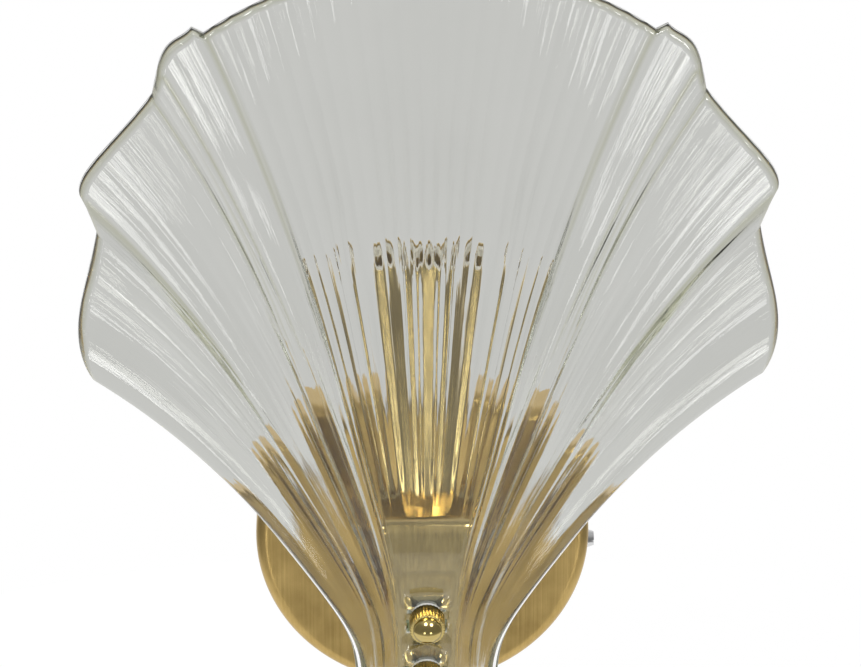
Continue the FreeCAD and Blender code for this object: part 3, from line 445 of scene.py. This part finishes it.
def noise(tree, coords, detail, roughness):
    """Noise on a node's coordinates, taken as they are."""
    inputs = {"Vector": coords.outputs[0], "Scale": 1.0, "Detail": detail, "Roughness": roughness}
    return add(tree, "TexNoise", inputs).outputs[0]


def node_group(name, inputs, outputs):
    """Empty node group with typed sockets, its input and output nodes."""
    group = bpy.data.node_groups.new(name, "ShaderNodeTree")
    for in_out, sockets in ("INPUT", inputs), ("OUTPUT", outputs):
        for label, kind in sockets.items():
            group.interface.new_socket(label, in_out=in_out, socket_type=f"NodeSocket{kind}")
    return group, group.nodes.new("NodeGroupInput").outputs, group.nodes.new("NodeGroupOutput").inputs


def use_group(tree, group, **inputs):
    """Outputs of a group placed in a material with its own values."""
    return add(tree, "Group", inputs, node_tree=group).outputs


def streaks_group():
    """Brushed lines: noise on coordinates squeezed along the brush, as a mask and a bump normal."""
    group, given, result = node_group("streaks", {"Vector": "Vector", "Squeeze": "Vector", "Depth": "Float"},
                                      {"Mask": "Float", "Normal": "Vector"})
    squeezed = add(group, "VectorMath", {0: given["Vector"], 1: given["Squeeze"]}, operation="MULTIPLY")
    mask = noise(group, squeezed, detail=3.0, roughness=0.65)
    bump = add(group, "Bump", {"Strength": 1.0, "Distance": given["Depth"], "Height": mask})
    group.links.new(mask, result["Mask"])
    group.links.new(bump.outputs[0], result["Normal"])
    return group


def mottle_group():
    """Soft cloudy mask, for handling marks and uneven lacquer."""
    group, given, result = node_group("mottle", {"Vector": "Vector", "Size": "Float"}, {"Mask": "Float"})
    scale = calc(group, "DIVIDE", 1.0, given["Size"])
    scaled = add(group, "VectorMath", {0: given["Vector"], "Scale": scale}, operation="SCALE")
    cloud = noise(group, scaled, detail=4.0, roughness=0.55)
    group.links.new(ramp(group, cloud, 0.35, 0.7, 0.0, 1.0), result["Mask"])
    return group


# ---- materials -------------------------------------------------------------------------------------------
# metals: dark and light tone (8-bit), roughness of each, squeeze of the brushed lines, their depth in metres
UPRIGHT, ACROSS = (1100, 1100, 12), (60, 2600, 2600)
METALS = {
    "spun_brass": ((164, 136, 78), (222, 192, 126), (0.28, 0.38), UPRIGHT, 5e-5),
    "brushed_brass": ((176, 154, 102), (228, 206, 150), (0.12, 0.22), UPRIGHT, 3e-5),
    "polished_brass": ((178, 158, 96), (214, 194, 130), (0.10, 0.17), ACROSS, 4e-6),
    "bare_brass": ((180, 156, 92), (220, 196, 130), (0.40, 0.55), ACROSS, 1e-5),
    "zinc_steel": ((168, 170, 172), (205, 207, 208), (0.28, 0.42), ACROSS, 1e-5),
    "screw_chrome": ((190, 190, 190), (226, 226, 226), (0.08, 0.16), ACROSS, 3e-6),
}
LINES_SHARE, HANDLING_MARKS = 0.7, 0.012    # part of the tone that the lines give; size of the cloudy marks
# moulded parts: dark and light tone, roughness of each
MOULDED = {
    "nylon": ((226, 226, 222), (240, 240, 237), (0.32, 0.42)),
    "holder_plastic": ((226, 220, 204), (238, 233, 220), (0.38, 0.5)),
    "block_plastic": ((224, 224, 218), (238, 238, 233), (0.4, 0.52)),
    "lead_sleeving": ((216, 214, 206), (230, 228, 221), (0.35, 0.45)),
    "rubber": ((22, 22, 22), (36, 36, 35), (0.55, 0.7)),
}
MOULD_MARKS, MOULD_GRAIN, GRAIN_DEPTH = 0.004, (3000, 3000, 3000), 2e-5
# glass: linear tints, the olive of the painted edge and crease shade, and the roughness of its polished faces
# and of its edge
CLEAR_TINTS, OLIVE_EDGE_SHADE = ((0.93, 0.935, 0.905, 1), (0.955, 0.96, 0.93, 1)), (0.62, 0.62, 0.42, 1)
GLASS_MARKS, GLASS_STREAKS, GLASS_STREAK_DEPTH = 0.03, (1.1, 0.01, 0), 1.3e-4
POLISHED, GROUND, GROUND_END, POLISHED_START = 0.012, 0.30, 0.3, 1.6
ABSORPTION, ABSORPTION_DENSITY = (0.70, 0.73, 0.55, 1), 12.0


def srgb(rgb):
    """Linear colour of an 8-bit one, by the sRGB curve."""
    share = np.array(rgb) / 255
    return *np.where(share <= 0.04045, share / 12.92, ((share + 0.055) / 1.055) ** 2.4), 1.0


def material(name, metallic=0.0, roughness=0.5, **inputs):
    """New material, its node tree and its Principled BSDF, with plain values on the shader's own sockets."""
    mat = bpy.data.materials.new(name)
    mat.use_nodes = True
    shader = mat.node_tree.nodes["Principled BSDF"]
    shader.inputs["Metallic"].default_value = metallic
    shader.inputs["Roughness"].default_value = roughness
    for key, value in inputs.items():
        shader.inputs[key.replace("_", " ")].default_value = value
    return mat, mat.node_tree, shader


def metal(name, dark, light, rough, squeeze, depth, groups):
    """Metal whose colour and roughness vary with its brushed lines, and a little with handling marks."""
    mat, tree, shader = material(name, metallic=1.0)
    coords = add(tree, "TexCoord").outputs["Object"]
    lines = use_group(tree, groups["streaks"], Vector=coords, Squeeze=squeeze, Depth=depth)
    marks = use_group(tree, groups["mottle"], Vector=coords, Size=HANDLING_MARKS)
    tone = calc(tree, "ADD", calc(tree, "MULTIPLY", lines["Mask"], LINES_SHARE),
                calc(tree, "MULTIPLY", marks["Mask"], 1 - LINES_SHARE))
    tree.links.new(blend(tree, tone, srgb(dark), srgb(light)), shader.inputs["Base Color"])
    tree.links.new(ramp(tree, tone, 0.2, 0.8, *rough), shader.inputs["Roughness"])
    tree.links.new(lines["Normal"], shader.inputs["Normal"])
    return mat


def moulded(name, dark, light, rough, groups):
    """Plastic or rubber with a faint cloudy tone and a fine grain."""
    mat, tree, shader = material(name)
    coords = add(tree, "TexCoord").outputs["Object"]
    cloud = use_group(tree, groups["mottle"], Vector=coords, Size=MOULD_MARKS)["Mask"]
    grain = use_group(tree, groups["streaks"], Vector=coords, Squeeze=MOULD_GRAIN, Depth=GRAIN_DEPTH)
    tree.links.new(blend(tree, cloud, srgb(dark), srgb(light)), shader.inputs["Base Color"])
    tree.links.new(ramp(tree, cloud, 0.0, 1.0, *rough), shader.inputs["Roughness"])
    tree.links.new(grain["Normal"], shader.inputs["Normal"])
    return mat


def glass(groups):
    """Clear pressed glass: faint streaks along the ribs, painted olive shade and less polish at edges and
    creases.
    """
    mat, tree, shader = material("glass", roughness=POLISHED, IOR=1.5, Transmission_Weight=1.0)
    ribs = add(tree, "Attribute", attribute_name="ribs").outputs["Vector"]
    distance = add(tree, "SeparateXYZ", {0: ribs}).outputs[2]
    # share of painted olive shade near the rim, the side edges and the creases
    edge_shade_share = ramp(tree, distance, 0.0, EDGE_SHADE_DEPTH, 1.0, 0.0, "SMOOTHSTEP")
    streaked = add(tree, "Attribute", attribute_name="streaked").outputs["Fac"]
    streaked = calc(tree, "MULTIPLY", calc(tree, "SUBTRACT", 1.0, edge_shade_share), streaked)
    streaks = use_group(tree, groups["streaks"], Vector=ribs, Squeeze=GLASS_STREAKS,
                        Depth=calc(tree, "MULTIPLY", streaked, GLASS_STREAK_DEPTH))
    coords = add(tree, "TexCoord").outputs["Object"]
    cloud = use_group(tree, groups["mottle"], Vector=coords, Size=GLASS_MARKS)["Mask"]
    clear = blend(tree, cloud, *CLEAR_TINTS)
    # clear tint, turned to olive where the painted edge and crease shade lies
    tree.links.new(blend(tree, edge_shade_share, clear, OLIVE_EDGE_SHADE), shader.inputs["Base Color"])
    tree.links.new(streaks["Normal"], shader.inputs["Normal"])
    polish = ramp(tree, distance, GROUND_END, POLISHED_START, GROUND, POLISHED, "SMOOTHSTEP")
    tree.links.new(polish, shader.inputs["Roughness"])
    inside = add(tree, "VolumeAbsorption", {"Color": ABSORPTION, "Density": ABSORPTION_DENSITY})
    tree.links.new(inside.outputs[0], tree.nodes["Material Output"].inputs["Volume"])
    return mat


def make_materials():
    """Every material by its name, which is also its slot's name."""
    groups = {"streaks": streaks_group(), "mottle": mottle_group()}
    made = {name: metal(name, *values, groups) for name, values in METALS.items()}
    made |= {name: moulded(name, *values, groups) for name, values in MOULDED.items()}
    return made | {"glass": glass(groups)}


# ---- hardware --------------------------------------------------------------------------------------------
STRIP_BEVEL = 0.0002                        # in metres


def smooth_copy(node, bevel=0.0, angle=32):
    """Merged copy of a CAD node, smooth across its small facets, that stands for the node."""
    mesh = frame["nodes"][node].data.copy()
    if "custom_normal" in mesh.attributes:
        mesh.attributes.remove(mesh.attributes["custom_normal"])
    shape = bmesh.new()
    shape.from_mesh(mesh)
    bmesh.ops.remove_doubles(shape, verts=shape.verts, dist=2e-6)
    shape.to_mesh(mesh)
    shape.free()
    mesh.shade_smooth()
    mesh.set_sharp_from_angle(angle=math.radians(angle))
    mesh.materials.clear()
    mesh.materials.append(looks[slots[node]])
    piece = bpy.data.objects.new(f"{node}_look", mesh)
    if bevel:
        edge = piece.modifiers.new("bevel", "BEVEL")
        edge.width, edge.segments, edge.angle_limit = bevel, 2, math.radians(40)
    stand_for(piece, node)


CANOPY_R, CANOPY_DEPTH, CANOPY_WALL, CANOPY_EDGE_R, CANOPY_HOLE_R = 55.0, 18.0, 0.9, 4.0, 4.6
OUT_OF_WALL = (0, -1, 0)


def canopy(mat):
    """Spun pan turned about Y: flat face, edge rounded by an arc, straight side, open to the wall."""
    flat_r, round_h = CANOPY_R - CANOPY_EDGE_R, CANOPY_DEPTH - CANOPY_EDGE_R
    side = [(CANOPY_R, 0), (CANOPY_R, 1.0), (CANOPY_R, round_h - 1)]
    face = [(flat_r - 1, CANOPY_DEPTH), (CANOPY_HOLE_R + 1, CANOPY_DEPTH), (CANOPY_HOLE_R, CANOPY_DEPTH)]
    floor_h = CANOPY_DEPTH - CANOPY_WALL
    inside = [(CANOPY_HOLE_R, floor_h), (flat_r, floor_h)]
    profile = side + arc(flat_r, round_h, CANOPY_EDGE_R, 0, 90, 14) + face + inside
    profile += arc(flat_r, round_h, CANOPY_EDGE_R - CANOPY_WALL, 90, 0, 10) + [(CANOPY_R - CANOPY_WALL, 0)]
    verts, faces = lathe(closed(profile), (0, 0, 0), OUT_OF_WALL, segments=192)
    mesh_piece("canopy", verts, faces, mat, sharp=40)


KNOB_R, KNOB_RING, KNOB_EDGE_R, STUD_BORE, STUD_BORE_DEPTH = 5.7, 6.5, 0.4, 2.05, 5.0
DOME_R, DOME_NECK, DOME_HEIGHT = 4.6, 0.9, 3.3
KNOB_TEETH, TOOTH_DEPTH, TOOTH_POWER, TOOTH_STEPS = 30, 0.3, 0.7, 8
FRONT_WASHER, KNOB_GAP = 1.2, 0.1


def knob(node, up, mat):
    """Knurled ring with rounded edges under a polished dome that is a cap of a sphere, turned about the stud.

    The teeth take depth * (1 - |sin(teeth * angle / 2)|^power) off the ring's radius.
    """
    cap = DOME_HEIGHT - DOME_NECK
    cap_r = (DOME_R ** 2 + cap ** 2) / (2 * cap)
    rim_angle = math.degrees(math.asin(DOME_R / cap_r))
    ring_r, top = KNOB_R - KNOB_EDGE_R, KNOB_RING + DOME_HEIGHT
    profile = [(STUD_BORE, 0.0), (ring_r - 0.1, 0.0)] + arc(ring_r, KNOB_EDGE_R, KNOB_EDGE_R, -80, 0, 4)
    profile += [(KNOB_R, KNOB_RING / 2)] + arc(ring_r, KNOB_RING - KNOB_EDGE_R, KNOB_EDGE_R, 0, 80, 4)
    profile += [(DOME_R + 0.25, KNOB_RING), (DOME_R + 0.02, KNOB_RING + 0.02), (DOME_R, KNOB_RING + 0.3),
                (DOME_R, KNOB_RING + DOME_NECK - 0.15)]
    profile += arc(0, top - cap_r, cap_r, 90 - rim_angle + 0.8, 90, 14)
    profile += [(1e-4, STUD_BORE_DEPTH), (STUD_BORE, STUD_BORE_DEPTH)]

    def teeth(angle, height, radius):
        wave = np.abs(np.sin(KNOB_TEETH * angle / 2)) ** TOOTH_POWER
        on_ring = (radius > DOME_R + 0.3) & (height < KNOB_RING + 1e-3)
        return np.where(on_ring, -TOOTH_DEPTH * (1 - wave) * smooth(radius, DOME_R + 0.3, KNOB_R), 0.0)

    base = plane_to_world(np.array([0.0, up, GLASS_THICK / 2 + FRONT_WASHER + KNOB_GAP])) / MM
    out_of_glass = (0, -math.cos(LEAN), -math.sin(LEAN))
    verts, faces = lathe(closed(profile), base, out_of_glass, segments=KNOB_TEETH * TOOTH_STEPS, ripple=teeth)
    mesh_piece(node, verts, faces, mat, sharp=48)


# ---- surroundings ----------------------------------------------------------------------------------------
CAMERA_AT, CAMERA_TARGET, CAMERA_LENS = (-0.0307, -1.1049, 0.5121), (0.0033, 0.0072, 0.0626), 152.04
# lamps: place, point aimed at, diameter, watts
LAMPS = {
    "key": ((-0.30, -1.3, 1.0), (0, -0.05, 0.05), 0.35, 10),
    "fill": ((0.6, -1.1, 0.7), (0, -0.05, 0.05), 0.35, 5),
    "low_left": ((-0.62, -1.9, -0.78), (0, -0.03, 0.05), 0.4, 1.8),
    "low_right": ((0.72, -1.9, -0.78), (0, -0.03, 0.05), 0.4, 1.8),
}
# levels of the world: the room in front of the light as metal shows it, the same through glass, the room
# overhead and underfoot, and the light that all of it gives
ROOM, ROOM_THROUGH, ROOM_ENDS, ROOM_LIGHT = 0.24, 0.95, 0.6, 0.6
THROUGH_GLASS = 0.61                        # share of the backdrop's level that shows through the glass
FLOOR_R, FLOOR_AT, FLOOR_GLOW, FLOOR_SEEN = 0.5, (0, 0.1, -0.30), 1.07, 0.85


def place_at(name, data, place, target):
    """Camera or lamp at a place, looking at a target."""
    holder = bpy.data.objects.new(name, data)
    holder.location = place
    holder.rotation_euler = (Vector(target) - Vector(place)).to_track_quat("-Z", "Y").to_euler()
    bpy.context.scene.collection.objects.link(holder)
    return holder


def camera():
    """The photograph's viewing angle."""
    eye = bpy.data.cameras.new("view")
    eye.lens, eye.sensor_width, eye.clip_start = CAMERA_LENS, 36.0, 0.05
    bpy.context.scene.camera = place_at("view", eye, CAMERA_AT, CAMERA_TARGET)


def lamp(name, place, target, size, power):
    """Round soft lamp."""
    light = bpy.data.lights.new(name, "AREA")
    light.shape, light.size, light.energy = "DISK", size, power
    place_at(name, light, place, target)


def bounced_rays(tree):
    """1 for rays that come by metal or through glass."""
    path = add(tree, "LightPath").outputs
    return calc(tree, "MAXIMUM", path["Is Glossy Ray"], path["Is Transmission Ray"])


def through_glass(tree, level, beyond):
    """A level, and another for rays that come through the glass."""
    return ramp(tree, add(tree, "LightPath").outputs["Is Transmission Ray"], 0, 1, level, beyond)


def world():
    """White backdrop behind the light and a softer room in front of it; what lights the light is even."""
    studio = bpy.data.worlds.new("studio")
    bpy.context.scene.world = studio
    studio.use_nodes = True
    tree = studio.node_tree
    along = add(tree, "SeparateXYZ", {0: add(tree, "TexCoord").outputs["Generated"]}).outputs
    level = through_glass(tree, ROOM, ROOM_THROUGH)
    room = ramp(tree, calc(tree, "ABSOLUTE", along[2]), 0.3, 0.85, level, ROOM_ENDS, "SMOOTHSTEP")
    backdrop = ramp(tree, along[1], 0.2, 1.0, room, 1.0, "SMOOTHSTEP")
    seen = calc(tree, "MULTIPLY", backdrop, through_glass(tree, 1.0, THROUGH_GLASS))
    shown = add(tree, "Mix", {"Factor": bounced_rays(tree), "A": ROOM_LIGHT, "B": seen}).outputs[0]
    to_camera = add(tree, "LightPath").outputs["Is Camera Ray"]
    strength = add(tree, "Mix", {"Factor": to_camera, "A": shown, "B": 1.0}).outputs[0]
    background = tree.nodes["Background"]
    background.inputs["Color"].default_value = (1, 1, 1, 1)
    tree.links.new(strength, background.inputs["Strength"])


def floor(steps=96):
    """Pale round floor below the light, for its shadow; it glows a little for rays that show the backdrop."""
    angles = np.linspace(0, 2 * math.pi, steps, endpoint=False)
    ring = FLOOR_R * np.stack([np.cos(angles), np.sin(angles), 0 * angles], -1) + FLOOR_AT
    mesh = bpy.data.meshes.new("floor")
    mesh.from_pydata([tuple(point) for point in ring], [], [tuple(range(steps))])
    mat, tree, shader = material("floor", roughness=0.9)
    shader.inputs["Base Color"].default_value = (0.9, 0.9, 0.9, 1)
    strength = through_glass(tree, FLOOR_GLOW, FLOOR_GLOW * THROUGH_GLASS)
    glow = add(tree, "Emission", {"Color": (1, 1, 1, 1), "Strength": strength})
    to_camera = add(tree, "LightPath").outputs["Is Camera Ray"]
    seen = calc(tree, "MULTIPLY", calc(tree, "MAXIMUM", to_camera, bounced_rays(tree)), FLOOR_SEEN)
    mixed = add(tree, "MixShader", {0: seen, 1: shader.outputs[0], 2: glow.outputs[0]})
    tree.links.new(mixed.outputs[0], tree.nodes["Material Output"].inputs["Surface"])
    mesh.materials.append(mat)
    piece = bpy.data.objects.new("floor", mesh)
    bpy.context.scene.collection.objects.link(piece)


# ---- the scene -------------------------------------------------------------------------------------------
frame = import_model()
looks = make_materials()
slots = {part["node"]: part["material_slot"] for part in frame["record"]["subparts"]}
bodies = {node: body for body, nodes in frame["record"]["behaviour"]["bodies"].items() for node in nodes}

bpy.context.scene.view_settings.view_transform = "Standard"
camera()
world()
floor()
for lamp_name, lamp_values in LAMPS.items():
    lamp(lamp_name, *lamp_values)

glass_shell(looks["glass"])
canopy(looks["spun_brass"])
knob("knob_upper", STUD_PLACES[0], looks["polished_brass"])
knob("knob_lower", STUD_PLACES[1], looks["polished_brass"])
made = {"glass_shell", "canopy", "knob_upper", "knob_lower"}
for node in frame["nodes"]:
    if node not in made:
        smooth_copy(node, bevel=STRIP_BEVEL if node == "holder_strip" else 0)
